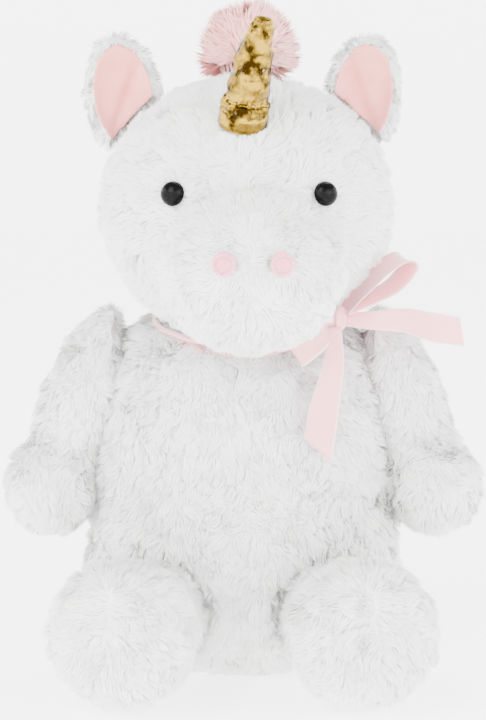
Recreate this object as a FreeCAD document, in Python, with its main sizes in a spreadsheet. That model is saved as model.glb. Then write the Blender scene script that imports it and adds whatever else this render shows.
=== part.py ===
import FreeCAD, Part
import math
import os
import Sketcher

# Plush unicorn, sitting, facing -Y.  Millimetres, +Z up.  The origin is on the
# surface the toy sits on, under the middle of the torso.

SIZES = {
    # fabric and gaps
    "wall": 5.0,               # plush cloth with its pile, pressed
    "fill_gap": 0.3,           # between a skin and the filling behind it
    "joint_gap": 0.6,          # between two pieces that turn on each other
    "far": 400.0,              # size of the cutting blocks
    # torso
    "belly_rx": 88.0,
    "belly_ry": 66.0,
    "belly_rz": 76.0,
    "belly_y": 2.0,
    "belly_height": 62.0,
    "chest_rx": 87.0,
    "chest_ry": 60.0,
    "chest_rz": 84.0,
    "chest_y": 3.0,
    "chest_height": 122.0,
    "base_seam": 13.0,         # height of the seam round the base panel
    "pouch_rx": 48.0,
    "pouch_ry": 22.0,
    "pouch_rz": 17.0,
    "pouch_y": 21.0,
    "pouch_height": 26.0,
    "pouch_wall": 1.0,
    # neck
    "neck_y": -8.0,
    "neck_x": 0.0,
    "neck_height": 190.0,
    "neck_tilt": 20.0,         # the neck seam drops towards the chin
    # head
    "skull_rx": 77.0,
    "skull_ry": 64.0,
    "skull_rz": 70.0,
    "skull_x": 2.0,             # the head looks slightly to +X at rest
    "skull_y": -20.0,
    "skull_height": 246.0,
    "muzzle_rx": 48.0,
    "muzzle_ry": 48.0,
    "muzzle_rz": 44.0,
    "muzzle_x": 4.5,
    "muzzle_y": -70.0,
    "muzzle_height": 220.0,
    "gusset_half": 19.0,
    "chin_seam": 200.0,
    # eyes: safety eyes with a stem and a washer behind the cloth
    "eye_x": 38.0,
    "eye_mid_x": 3.0,
    "eye_y": -74.4,
    "eye_height": 258.0,
    "eye_turn": 25.7,
    "eye_lift": 9.4,
    "eye_radius": 6.3,
    "eye_crown": 5.2,
    "eye_rim": 0.8,
    "stem_radius": 2.0,
    "stem_length": 13.0,
    "washer_radius": 9.0,
    "washer_hole": 2.2,
    "washer_front": 7.0,
    "washer_back": 8.6,
    "room_radius": 9.3,
    "room_front": 6.7,
    "room_back": 13.3,
    "stem_room": 2.3,
    # nostrils: round patches of satin stitch
    "nostril_x": 14.3,
    "nostril_mid_x": 5.0,
    "nostril_y": -115.6,
    "nostril_height": 227.0,
    "nostril_turn": 15.0,
    "nostril_lift": 10.0,
    "nostril_radius": 6.0,
    "nostril_depth": 1.4,
    "nostril_proud": 1.0,
    "nostril_edge": 0.6,
    # mane
    "forelock_x": 3.0,
    "forelock_y": 3.0,
    "forelock_height": 326.0,
    "forelock_rx": 24.0,
    "forelock_ry": 19.0,
    "forelock_rz": 25.0,
    "crest_pile": 15.0,
    "crest_half": 15.0,
    "crest_bottom": 222.0,
    "crest_front": 12.0,
    # ears
    "ear_x": 62.0,
    "ear_mid_x": 0.0,
    "ear_y": -10.0,
    "ear_height": 304.0,
    "ear_lean": 8.0,
    "ear_rx": 20.0,
    "ear_ry": 10.0,
    "ear_rz": 33.0,
    "cup_rx": 15.5,
    "cup_ry": 10.0,
    "cup_rz": 27.0,
    "cup_forward": 7.0,
    "lining": 1.6,
    "flex_gap": 2.3,           # room at the root of a piece that flexes
    # horn
    "horn_y": -63.0,
    "horn_x": 0.5,
    "horn_height": 297.7,
    "horn_lean": 24.0,
    "horn_side": 9.5,
    "horn_cloth": 0.9,
    "horn_foot_r": 12.0,
    "horn_low_r": 10.6,
    "horn_core_r": 10.2,
    "horn_core": 53.0,
    "horn_core_z": -4.0,
    "horn_low_z": 8.2,
    "horn_high_z": 27.5,
    "horn_tip_z": 46.5,
    "horn_low_puff": 7.7,
    "horn_low_puff_z": -1.5,
    "horn_mid_puff": 9.0,
    "horn_mid_puff_z": 17.8,
    "wrap_low_r": 11.1,
    "wrap_high_r": 9.5,
    "wrap_r": 1.0,
    "tip_knot_r": 3.0,
    # arms
    "arm_plane_x": 78.0,       # the arm lies outside a plane through this point
    "arm_plane_z": 98.0,
    "arm_slope": 80.0,
    "arm_x": 82.0,
    "arm_y": -9.0,
    "arm_height": 148.0,
    "arm_angle": 23.6,
    "arm_rx": 24.0,
    "arm_ry": 25.0,
    "arm_rz": 54.0,
    "hand_x": 100.0,
    "hand_y": -19.0,
    "hand_height": 101.0,
    "hand_rx": 27.0,
    "hand_ry": 27.0,
    "hand_rz": 29.0,
    # legs
    "hip_x": 44.0,
    "hip_y": -38.0,
    "hip_height": 39.4,
    "hip_ball": 29.0,
    "leg_splay": 15.0,
    "hip_room": 1.1,           # round the thigh, over its whole swing
    "thigh_root_r": 25.5,
    "thigh_foot_r": 34.0,
    "thigh_length": 62.0,
    "foot_reach": 62.0,
    "foot_radius": 39.0,
    "sole_reach": 88.0,
    # ribbon: satin, 16 mm wide
    "ribbon": 16.0,
    "satin": 1.0,
    "band_top_r": 48.5,
    "band_low_r": 48.5,
    "band_top_in": 47.5,
    "band_low_in": 47.5,
    "band_top": -1.2,
    "band_low": -9.0,
    "groove_in": 46.8,         # the groove round the neck that the band lies in
    "groove_floor": -9.7,
    "groove_out": 53.5,
    "groove_top": 5.0,
    "knot_x": 48.5,
    "knot_y": -52.0,
    "knot_height": 193.0,
    "knot_rx": 5.5,
    "knot_ry": 4.5,
    "knot_rz": 6.5,
    "loop_radius": 5.0,
    "loop_long": 27.0,
    "loop_short": 11.0,
    "loop_start": 8.0,
    "loop_rise": 44.0,
    "loop_out": 11.0,
    "loop_forward": 5.0,
    "loop_fall": 35.0,
    "loop_low_x": 9.0,
    "loop_low_z": 13.0,
    "tail_start": 6.0,
    "side_low": 2.0,
    "side_back": 1.7,
    "side_tail": 64.0,
    "side_drop": 4.0,
    "hang_tail": 62.0,
    "hang_slant": 8.0,
    "hang_short": 50.0,
    "hang_in": 2.0,
    "hang_low": 8.0,
    "hang_forward": 11.5,
    "side_point": 60.0,
    "tail_half": 8.0,
    # tail
    "tail_y": 79.0,
    "tail_height": 44.0,
    "tail_rx": 13.0,
    "tail_ry": 15.0,
    "tail_rz": 24.0,
    "tail_angle": 12.0,
}

X_AXIS = FreeCAD.Vector(1, 0, 0)
Y_AXIS = FreeCAD.Vector(0, 1, 0)
Z_AXIS = FreeCAD.Vector(0, 0, 1)
SIDES = (("left", -1), ("right", 1))
THIGH_STEPS = (-10, 0, 10, 20)      # degrees of splay the torso is opened for

doc = FreeCAD.newDocument("plush_unicorn")
sheet = doc.addObject("Spreadsheet::Sheet", "Dimensions")
for row, (alias, size) in enumerate(SIZES.items(), start=1):
    sheet.set("A%d" % row, alias)
    sheet.set("B%d" % row, str(size))
    sheet.setAlias("B%d" % row, alias)
doc.recompute()


def cell(alias):
    """The expression that reads one cell."""
    return "Dimensions." + alias


def signed(sign, alias):
    """A cell times +1 or -1, for left and right."""
    return "%d * Dimensions.%s" % (sign, alias)


def number(term):
    """The plain value of "alias", "-alias" or "0"."""
    if term == "0":
        return 0.0
    if term.startswith("-"):
        return -SIZES[term[1:]]
    return SIZES[term]


def expression(term):
    """The expression for "alias" or "-alias"."""
    if term.startswith("-"):
        return "-Dimensions." + term[1:]
    return "Dimensions." + term


# ---------------------------------------------------------------- primitives

def place(item, base, axis=None, angle=None):
    """Binds a placement: three expressions for the base, one for the turn."""
    if axis is not None:
        item.Placement = FreeCAD.Placement(FreeCAD.Vector(), FreeCAD.Rotation(axis, 1))
        item.setExpression("Placement.Rotation.Angle", angle)
    for letter, term in zip("xyz", base):
        item.setExpression("Placement.Base." + letter, term)
    return item


def ellipsoid(name, base, radii, inset="0", axis=None, angle=None):
    """An ellipsoid whose radii along X, Y and Z are all less by inset."""
    item = doc.addObject("Part::Ellipsoid", name)
    item.setExpression("Radius2", "%s - (%s)" % (radii[0], inset))
    item.setExpression("Radius3", "%s - (%s)" % (radii[1], inset))
    item.setExpression("Radius1", "%s - (%s)" % (radii[2], inset))
    return place(item, base, axis, angle)


def sphere(name, base, radius):
    item = doc.addObject("Part::Sphere", name)
    item.setExpression("Radius", radius)
    return place(item, base)


def beyond(name, point, axis, angle, lift="0"):
    """All that lies past a plane: its normal is +Z turned about X or Y."""
    item = doc.addObject("Part::Cylinder", name)
    item.setExpression("Radius", cell("far"))
    item.setExpression("Height", cell("far"))
    if axis is X_AXIS:
        normal = ("0", "-sin(%s)" % angle, "cos(%s)" % angle)
    else:
        normal = ("sin(%s)" % angle, "0", "cos(%s)" % angle)
    base = ["%s + (%s) * (%s)" % (p, lift, n) for p, n in zip(point, normal)]
    return place(item, base, axis, angle)


def block(name, low, high):
    """A box between two corners, each given as three expressions."""
    item = doc.addObject("Part::Box", name)
    for side, start, end in zip(("Length", "Width", "Height"), low, high):
        item.setExpression(side, "(%s) - (%s)" % (end, start))
    return place(item, low)


def fuse(name, *items):
    item = doc.addObject("Part::MultiFuse", name)
    item.Shapes = list(items)
    return item


def common(name, *items):
    item = doc.addObject("Part::MultiCommon", name)
    item.Shapes = list(items)
    return item


def cut(name, base, *tools):
    """The base less one tool after another."""
    for count, tool in enumerate(tools):
        item = doc.addObject("Part::Cut", name if count == len(tools) - 1 else name + "_cut")
        item.Base = base
        item.Tool = tool
        base = item
    return base


NODES = []


def node(item, name):
    """Marks an object as one piece of the toy."""
    item.Label = name
    NODES.append(item)
    return item


# ------------------------------------------------------- PartDesign profiles

def outline(body, role, corners):
    """A sketch of straight edges on an origin plane, its corners held by cells."""
    sketch = body.newObject("Sketcher::SketchObject", body.Name + "_outline")
    plane = [f for f in body.Origin.OriginFeatures if f.Role == role][0]
    sketch.AttachmentSupport = [(plane, "")]
    sketch.MapMode = "FlatFace"
    points = [FreeCAD.Vector(number(x), number(y), 0) for x, y in corners]
    for start, end in zip(points, points[1:] + points[:1]):
        sketch.addGeometry(Part.LineSegment(start, end))
    for index in range(len(points)):
        after = (index + 1) % len(points)
        sketch.addConstraint(Sketcher.Constraint("Coincident", index, 2, after, 1))
    for index, corner in enumerate(corners):
        hold(sketch, index, "DistanceX", corner[0], -2)
        hold(sketch, index, "DistanceY", corner[1], -1)
    return sketch


def hold(sketch, index, kind, term, axis):
    """Fixes one coordinate of a corner: on the axis, or at a cell's distance."""
    if term == "0":
        sketch.addConstraint(Sketcher.Constraint("PointOnObject", index, 1, axis))
        return
    rule = sketch.addConstraint(
        Sketcher.Constraint(kind, -1, 1, index, 1, number(term)))
    sketch.setExpression("Constraints[%d]" % rule, expression(term))


def revolved(name, corners):
    """A body turned about its own Z axis, from an outline in its XZ plane."""
    body = doc.addObject("PartDesign::Body", name)
    sketch = outline(body, "XZ_Plane", corners)
    turned = body.newObject("PartDesign::Revolution", name + "_turned")
    turned.Profile = sketch
    turned.ReferenceAxis = (sketch, ["V_Axis"])
    turned.Angle = 360
    return body


def thickened(name, thickness, corners):
    """A body with its outline in the XZ plane, thickened evenly along Y."""
    body = doc.addObject("PartDesign::Body", name)
    pad = body.newObject("PartDesign::Pad", name + "_pad")
    pad.Profile = outline(body, "XZ_Plane", corners)
    pad.setExpression("Length", thickness)
    pad.Midplane = True
    body.Tip = pad
    return body


def aim(item, base, direction):
    """Puts a piece made about +Z at a base bound to cells, pointing along direction."""
    turn = FreeCAD.Rotation(Z_AXIS, FreeCAD.Vector(*direction))
    item.Placement = FreeCAD.Placement(FreeCAD.Vector(), turn)
    for letter, term in zip("xyz", base):
        item.setExpression("Placement.Base." + letter, term)
    return item


def bearing(sign, turn, lift):
    """The direction turned from -Y towards one side, then lifted, in degrees."""
    turn = math.radians(SIZES[turn])
    lift = math.radians(SIZES[lift])
    return (sign * math.sin(turn) * math.cos(lift), -math.cos(turn) * math.cos(lift), math.sin(lift))


# ------------------------------------------------------------ the half spaces

NECK = (cell("neck_x"), cell("neck_y"), cell("neck_height"))


def above_neck(name, lift):
    """The head's side of the neck seam, starting this far above it."""
    return beyond(name, NECK, X_AXIS, cell("neck_tilt"), lift)


def outside_arm(name, sign, lift):
    """The arm's side of the shoulder seam, starting this far out from it."""
    point = (signed(sign, "arm_plane_x"), "0", cell("arm_plane_z"))
    return beyond(name, point, Y_AXIS, signed(sign, "arm_slope"), lift)


def far_block(name, low=None, high=None):
    """A big block, cut short at low and high, each a dict of axis to expression."""
    far = cell("far")
    ends = [[], []]
    for axis in "xyz":
        ends[0].append((low or {}).get(axis, "-" + far))
        ends[1].append((high or {}).get(axis, far))
    return block(name, *ends)


# --------------------------------------------------------------------- torso

def hip_room(side, sign):
    """What the torso leaves free for a thigh: its ball and its cone over the swing."""
    hip = (signed(sign, "hip_x"), cell("hip_y"), cell("hip_height"))
    pieces = [sphere("hip_room_" + side, hip, "%s + %s" % (cell("hip_ball"), cell("joint_gap")))]
    for step in THIGH_STEPS:
        angle = math.radians(SIZES["leg_splay"] + step)
        cone = doc.addObject("Part::Cone", "thigh_room_" + side)
        cone.setExpression("Radius1", "%s + %s" % (cell("thigh_root_r"), cell("hip_room")))
        cone.setExpression("Radius2", "%s + %s" % (cell("thigh_foot_r"), cell("hip_room")))
        cone.setExpression("Height", cell("thigh_length"))
        pieces.append(aim(cone, hip, (sign * math.sin(angle), -math.cos(angle), 0)))
    return pieces


def neck_groove():
    """The ring cut from the top of the torso for the ribbon."""
    groove = revolved("neck_groove", (
        ("groove_in", "groove_floor"), ("groove_out", "groove_floor"),
        ("groove_out", "groove_top"), ("groove_in", "groove_top")))
    return place(groove, NECK, X_AXIS, cell("neck_tilt"))


def torso_form(name, inset, hips, groove):
    """The whole torso without its seams, less an even inset."""
    belly = ellipsoid(
        name + "_belly", ("0", cell("belly_y"), cell("belly_height")),
        (cell("belly_rx"), cell("belly_ry"), cell("belly_rz")), inset)
    chest = ellipsoid(
        name + "_chest", ("0", cell("chest_y"), cell("chest_height")),
        (cell("chest_rx"), cell("chest_ry"), cell("chest_rz")), inset)
    whole = fuse(name + "_whole", belly, chest)
    standing = common(
        name + "_standing", whole, far_block(name + "_floor", low={"z": inset}))
    neck = above_neck(name + "_neck", "-%s / 2" % cell("joint_gap"))
    shoulders = [
        outside_arm(name + "_shoulder", sign, "-(%s) - %s / 2" % (inset, cell("joint_gap")))
        for _, sign in SIDES]
    return cut(name, standing, neck, groove, *shoulders, *hips)


def pouch_form(name, inset):
    """The bag of beans low in the back of the torso."""
    return ellipsoid(
        name, ("0", cell("pouch_y"), cell("pouch_height")),
        (cell("pouch_rx"), cell("pouch_ry"), cell("pouch_rz")), inset)


def make_torso():
    gap = cell("fill_gap")
    wall = cell("wall")
    pouch_wall = cell("pouch_wall")
    hips = [piece for side, sign in SIDES for piece in hip_room(side, sign)]
    groove = neck_groove()
    skin = cut("torso_skin", torso_form("torso_outer", "0", hips, groove),
               torso_form("torso_inner", wall, hips, groove))
    seam = cell("base_seam")
    sides = (("left", {"high": {"x": "0"}}), ("right", {"low": {"x": "0"}}))
    for side, span in sides:
        for face, along in (("front", "high"), ("back", "low")):
            limits = {"low": dict(span.get("low", {})), "high": dict(span.get("high", {}))}
            limits[along]["y"] = cell("chest_y")
            limits["low"]["z"] = seam
            name = "torso_%s_%s_panel" % (face, side)
            quarter = far_block(name + "_quarter", **limits)
            node(common(name, skin, quarter), name)
    below = far_block("base_block", high={"z": seam})
    node(common("torso_base_panel", skin, below), "torso_base_panel")
    filling = torso_form("torso_filling", "%s + %s" % (wall, gap), hips, groove)
    hollow = pouch_form("pouch_room", "-" + gap)
    node(cut("torso_stuffing", filling, hollow), "torso_stuffing")
    cover = cut("bean_pouch", pouch_form("pouch_outer", "0"), pouch_form("pouch_inner", pouch_wall))
    node(cover, "bean_pouch")
    node(pouch_form("bean_filling", "%s + %s" % (pouch_wall, gap)), "bean_filling")


# ---------------------------------------------------------------------- head

def skull_form(name, inset):
    return ellipsoid(
        name, (cell("skull_x"), cell("skull_y"), cell("skull_height")),
        (cell("skull_rx"), cell("skull_ry"), cell("skull_rz")), inset)


def muzzle_form(name, inset):
    return ellipsoid(
        name, (cell("muzzle_x"), cell("muzzle_y"), cell("muzzle_height")),
        (cell("muzzle_rx"), cell("muzzle_ry"), cell("muzzle_rz")), inset)


def head_form(name, inset):
    """Skull and muzzle together, open at the neck seam."""
    whole = fuse(name + "_whole", skull_form(name + "_skull", inset),
                 muzzle_form(name + "_muzzle", inset))
    return common(name, whole, above_neck(name + "_neck", cell("joint_gap") + " / 2"))


def make_eye(side, sign):
    """A safety eye: domed cap, thin rim and stem, with its washer; returns the tool
    that opens the cloth and the filling for them."""
    base = ("%s + %s" % (cell("eye_mid_x"), signed(sign, "eye_x")),
            cell("eye_y"), cell("eye_height"))
    direction = bearing(sign, "eye_turn", "eye_lift")
    dome = ellipsoid("eye_dome", ("0", "0", "0"),
                     (cell("eye_radius"), cell("eye_radius"), cell("eye_crown")))
    cap = common("eye_cap", dome, far_block("eye_front", low={"z": "0"}))
    stem = doc.addObject("Part::Cylinder", "eye_stem")
    stem.setExpression("Radius", cell("stem_radius"))
    stem.setExpression("Height", cell("stem_length"))
    place(stem, ("0", "0", "-" + cell("stem_length")))
    eye = aim(fuse("eye_" + side, cap, stem), base, direction)
    washer = aim(revolved("eye_washer_" + side, (
        ("washer_hole", "-washer_back"), ("washer_radius", "-washer_back"),
        ("washer_radius", "-washer_front"), ("washer_hole", "-washer_front"))), base, direction)
    room = aim(revolved("eye_room_" + side, (
        ("0", "-room_back"), ("room_radius", "-room_back"), ("room_radius", "-room_front"),
        ("stem_room", "-room_front"), ("stem_room", "eye_rim"), ("0", "eye_rim"))),
        base, direction)
    node(eye, "eye_" + side)
    node(washer, "eye_washer_" + side)
    cap_room = aim(ellipsoid("eye_cap_room", ("0", "0", "0"), (
        cell("eye_radius"), cell("eye_radius"), cell("eye_crown")), "-" + cell("fill_gap")),
        base, direction)
    return [room, cap_room]


def make_nostril(side, sign):
    """A round patch of satin stitch, let into the muzzle; returns the patch."""
    base = ("%s + %s" % (cell("nostril_mid_x"), signed(sign, "nostril_x")),
            cell("nostril_y"), cell("nostril_height"))
    direction = bearing(sign, "nostril_turn", "nostril_lift")
    patch = aim(revolved("nostril_" + side, (
        ("0", "-nostril_depth"), ("nostril_radius", "-nostril_depth"),
        ("nostril_radius", "nostril_edge"), ("0", "nostril_proud"))), base, direction)
    return node(patch, "nostril_" + side)


def make_head():
    wall = cell("wall")
    gap = cell("fill_gap")
    tools = []
    for side, sign in SIDES:
        tools.extend(make_eye(side, sign))
        tools.append(make_nostril(side, sign))
    shell = cut("head_shell", head_form("head_outer", "0"), head_form("head_inner", wall))
    skin = cut("head_skin", shell, *tools)
    skull = skull_form("skull_split", "0")
    node(cut("muzzle_panel", skin, skull), "muzzle_panel")
    cover = common("skull_skin", skin, skull)
    half = cell("gusset_half")
    middle = cell("skull_x")
    strip = far_block("gusset_strip", low={"x": "%s - %s" % (middle, half)},
                      high={"x": "%s + %s" % (middle, half)})
    chin = far_block("chin_block", high={"y": cell("skull_y"), "z": cell("chin_seam")})
    middle_skin = common("gusset_skin", cover, strip)
    node(cut("head_gusset", middle_skin, chin), "head_gusset")
    node(common("chin_gusset", middle_skin, chin), "chin_gusset")
    left = far_block("head_left", high={"x": "%s - %s" % (middle, half)})
    right = far_block("head_right", low={"x": "%s + %s" % (middle, half)})
    node(common("head_side_left_panel", cover, left), "head_side_left_panel")
    node(common("head_side_right_panel", cover, right), "head_side_right_panel")
    filling = head_form("head_filling", "%s + %s" % (wall, gap))
    node(cut("head_stuffing", filling, *tools), "head_stuffing")


def make_mane():
    """A tuft behind the horn and a crest down the back of the head, both long pile."""
    gap = cell("fill_gap")
    tuft = ellipsoid(
        "forelock_whole", (cell("forelock_x"), cell("forelock_y"), cell("forelock_height")),
        (cell("forelock_rx"), cell("forelock_ry"), cell("forelock_rz")))
    node(cut("mane_forelock", tuft, skull_form("forelock_root", "-" + gap)), "mane_forelock")
    pile = skull_form("crest_outer", "-" + cell("crest_pile"))
    room = skull_form("crest_inner", "-" + gap)
    half = cell("crest_half")
    middle = cell("forelock_x")
    strip = far_block(
        "crest_strip",
        low={"x": "%s - %s" % (middle, half), "y": cell("crest_front"), "z": cell("crest_bottom")},
        high={"x": "%s + %s" % (middle, half)})
    ring = common("crest_ring", cut("crest_layer", pile, room), strip)
    spare = ellipsoid(
        "forelock_room", (cell("forelock_x"), cell("forelock_y"), cell("forelock_height")),
        (cell("forelock_rx"), cell("forelock_ry"), cell("forelock_rz")), "-" + gap)
    node(cut("mane_crest", ring, spare), "mane_crest")


def ear_form(name, sign, radii, inset="0", forward="0"):
    """An upright leaf leaning outwards, or the cup in its front."""
    base = ("%s + %s" % (cell("ear_mid_x"), signed(sign, "ear_x")),
            "%s - %s" % (cell("ear_y"), forward), cell("ear_height"))
    return ellipsoid(name, base, radii, inset, Y_AXIS, signed(sign, "ear_lean"))


def make_ear(side, sign):
    """A plush back with a velour lining in its hollow front."""
    name = "ear_" + side
    leaf_radii = (cell("ear_rx"), cell("ear_ry"), cell("ear_rz"))
    cup_radii = (cell("cup_rx"), cell("cup_ry"), cell("cup_rz"))
    forward = cell("cup_forward")
    leaf = cut(name + "_leaf", ear_form(name + "_whole", sign, leaf_radii),
               skull_form(name + "_root", "-" + cell("flex_gap")))
    cup = ear_form(name + "_cup", sign, cup_radii, forward=forward)
    inside = ear_form(name + "_inside", sign, cup_radii, cell("lining"), forward)
    node(cut(name + "_back", leaf, cup), name + "_back")
    node(cut(name + "_lining", common(name + "_cup_part", leaf, cup), inside), name + "_lining")


# ---------------------------------------------------------------------- horn

HORN_BASE = (cell("horn_x"), cell("horn_y"), cell("horn_height"))


def horn_direction():
    lean = math.radians(SIZES["horn_lean"])
    aside = math.radians(SIZES["horn_side"])
    return (math.sin(aside), -math.sin(lean) * math.cos(aside), math.cos(lean) * math.cos(aside))


def horn_form(name, inset):
    """A tapering core with a rolled foot and one puff, drawn in by thread between them."""
    core = ellipsoid(name + "_core", ("0", "0", cell("horn_core_z")),
                     (cell("horn_core_r"), cell("horn_core_r"), cell("horn_core")), inset)
    foot = ellipsoid(name + "_foot", ("0", "0", cell("horn_low_puff_z")),
                     (cell("horn_foot_r"), cell("horn_foot_r"), cell("horn_low_puff")), inset)
    puff = ellipsoid(name + "_puff", ("0", "0", cell("horn_mid_puff_z")),
                     (cell("horn_low_r"), cell("horn_low_r"), cell("horn_mid_puff")), inset)
    blunt = far_block(name + "_end", high={"z": "%s - (%s)" % (cell("horn_tip_z"), inset)})
    return aim(common(name, fuse(name + "_whole", core, foot, puff), blunt),
               HORN_BASE, horn_direction())


def make_horn():
    """A gathered cover over firm filling, tied by two threads and a knot at the tip."""
    cloth = cell("horn_cloth")
    gap = cell("fill_gap")
    direction = horn_direction()
    root = skull_form("horn_root", "-" + cell("flex_gap"))
    for name, height, radius in (("lower", "horn_low_z", "wrap_low_r"),
                                 ("upper", "horn_high_z", "wrap_high_r")):
        wrap = doc.addObject("Part::Torus", "horn_wrap_" + name)
        wrap.setExpression("Radius1", cell(radius))
        wrap.setExpression("Radius2", cell("wrap_r"))
        aim(wrap, HORN_BASE, direction)
        slide_along(wrap, direction, SIZES[height])
        node(wrap, "horn_wrap_" + name)
    cover = cut("horn_cover", horn_form("horn_outer", "0"), horn_form("horn_inner", cloth), root)
    node(cover, "horn_cover")
    filling = horn_form("horn_fill", "%s + %s" % (cloth, gap))
    node(cut("horn_stuffing", filling, root), "horn_stuffing")
    knot = sphere("horn_tip_knot", ("0", "0", "0"), cell("tip_knot_r"))
    aim(knot, HORN_BASE, direction)
    slide_along(knot, direction, SIZES["horn_tip_z"] + SIZES["tip_knot_r"])
    node(knot, "horn_tip_knot")


def slide_along(item, direction, distance):
    """Moves a piece made about +Z further out along its direction."""
    for letter, term, part in zip("xyz", HORN_BASE, direction):
        item.setExpression("Placement.Base." + letter, "%s + %.6f" % (term, distance * part))


# ---------------------------------------------------------------------- arms

def arm_form(name, sign, inset):
    """Upper arm and hand together, flat against the torso's side."""
    lean = "%d * %s" % (-sign, cell("arm_angle"))
    upper = ellipsoid(
        name + "_upper", (signed(sign, "arm_x"), cell("arm_y"), cell("arm_height")),
        (cell("arm_rx"), cell("arm_ry"), cell("arm_rz")), inset, Y_AXIS, lean)
    hand = ellipsoid(
        name + "_hand", (signed(sign, "hand_x"), cell("hand_y"), cell("hand_height")),
        (cell("hand_rx"), cell("hand_ry"), cell("hand_rz")), inset, Y_AXIS, lean)
    side = outside_arm(name + "_side", sign, "%s + %s / 2" % (inset, cell("joint_gap")))
    return common(name, fuse(name + "_whole", upper, hand), side)


def make_arm(side, sign):
    name = "arm_" + side
    wall = cell("wall")
    outer = arm_form(name + "_form", sign, "0")
    skin = cut(name + "_skin", outer, arm_form(name + "_hollow", sign, wall))
    seam_point = (signed(sign, "arm_x"), "0", cell("arm_height"))
    angle = "%d * (90 - %s)" % (sign, cell("arm_angle"))
    seam = beyond(name + "_seam", seam_point, Y_AXIS, angle)
    node(common(name + "_outer_panel", skin, seam), name + "_outer_panel")
    node(cut(name + "_inner_panel", skin, seam), name + "_inner_panel")
    filling = arm_form(name + "_stuffing", sign, "%s + %s" % (wall, cell("fill_gap")))
    node(filling, name + "_stuffing")


# ---------------------------------------------------------------------- legs

def leg_form(name, inset):
    """Hip ball, thigh and foot about the hip, lying along -Y before it splays."""
    ball = sphere(name + "_ball", ("0", "0", "0"), "%s - (%s)" % (cell("hip_ball"), inset))
    thigh = doc.addObject("Part::Cone", name + "_thigh")
    thigh.setExpression("Radius1", "%s - (%s)" % (cell("thigh_root_r"), inset))
    thigh.setExpression("Radius2", "%s - (%s)" % (cell("thigh_foot_r"), inset))
    thigh.setExpression("Height", cell("thigh_length"))
    place(thigh, ("0", "0", "0"), X_AXIS, "90")
    foot = sphere(name + "_foot", ("0", "-" + cell("foot_reach"), "0"),
                  "%s - (%s)" % (cell("foot_radius"), inset))
    whole = fuse(name + "_whole", ball, thigh, foot)
    sole_end = far_block(name + "_sole_end", low={"y": "%s - %s" % (inset, cell("sole_reach"))})
    return common(name, whole, sole_end)


def make_leg(side, sign):
    """Two side panels, a round sole and the filling, turned out at the hip."""
    name = "leg_" + side
    wall = cell("wall")
    inner_form = leg_form(name + "_hollow", wall)
    skin = cut(name + "_skin", leg_form(name + "_form", "0"), inner_form)
    sole_block = far_block(name + "_sole_block", high={"y": "%s - %s" % (wall, cell("sole_reach"))})
    tube = cut(name + "_tube", skin, sole_block)
    half = far_block(name + "_half", low={"x": "0"})
    outwards = common(name + "_plus", tube, half)
    inwards = cut(name + "_minus", tube, half)
    outer, inner = (outwards, inwards) if sign > 0 else (inwards, outwards)
    sole = common(name + "_sole", skin, sole_block)
    filling = leg_form(name + "_stuffing", "%s + %s" % (wall, cell("fill_gap")))
    hip = (signed(sign, "hip_x"), cell("hip_y"), cell("hip_height"))
    pieces = ((outer, "_outer_panel"), (inner, "_inner_panel"), (sole, "_sole"),
              (filling, "_stuffing"))
    for piece, ending in pieces:
        node(place(piece, hip, Z_AXIS, signed(sign, "leg_splay")), name + ending)


# -------------------------------------------------------------------- ribbon

KNOT = (cell("knot_x"), cell("knot_y"), cell("knot_height"))


def knot_offset(along, up, forward="0"):
    """A place beside the knot: to the right, up and towards the front."""
    return ("%s + %s" % (KNOT[0], along), "%s - %s" % (KNOT[1], forward),
            "%s + %s" % (KNOT[2], up))


def slot(name, length, radius, width):
    """A bar with round ends: length along X, roundness in XY, width along Z."""
    low = "-(%s) / 2" % width
    bar = doc.addObject("Part::Box", name + "_bar")
    bar.setExpression("Length", length)
    bar.setExpression("Width", "2 * (%s)" % radius)
    bar.setExpression("Height", width)
    place(bar, ("0", "-(%s)" % radius, low))
    ends = []
    for start in ("0", length):
        end = doc.addObject("Part::Cylinder", name + "_end")
        end.setExpression("Radius", radius)
        end.setExpression("Height", width)
        ends.append(place(end, (start, "0", low)))
    return fuse(name, bar, *ends)


def make_loop(name, length, base, turn):
    """One loop of the bow: a flattened tube of ribbon."""
    outer = slot(name + "_outer", length, cell("loop_radius"), cell("ribbon"))
    inner_radius = "%s - %s" % (cell("loop_radius"), cell("satin"))
    inner = slot(name + "_inner", length, inner_radius, cell("ribbon") + " * 1.2")
    loop = cut(name, outer, inner)
    return node(place(loop, base, Y_AXIS, turn), name)


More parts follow.
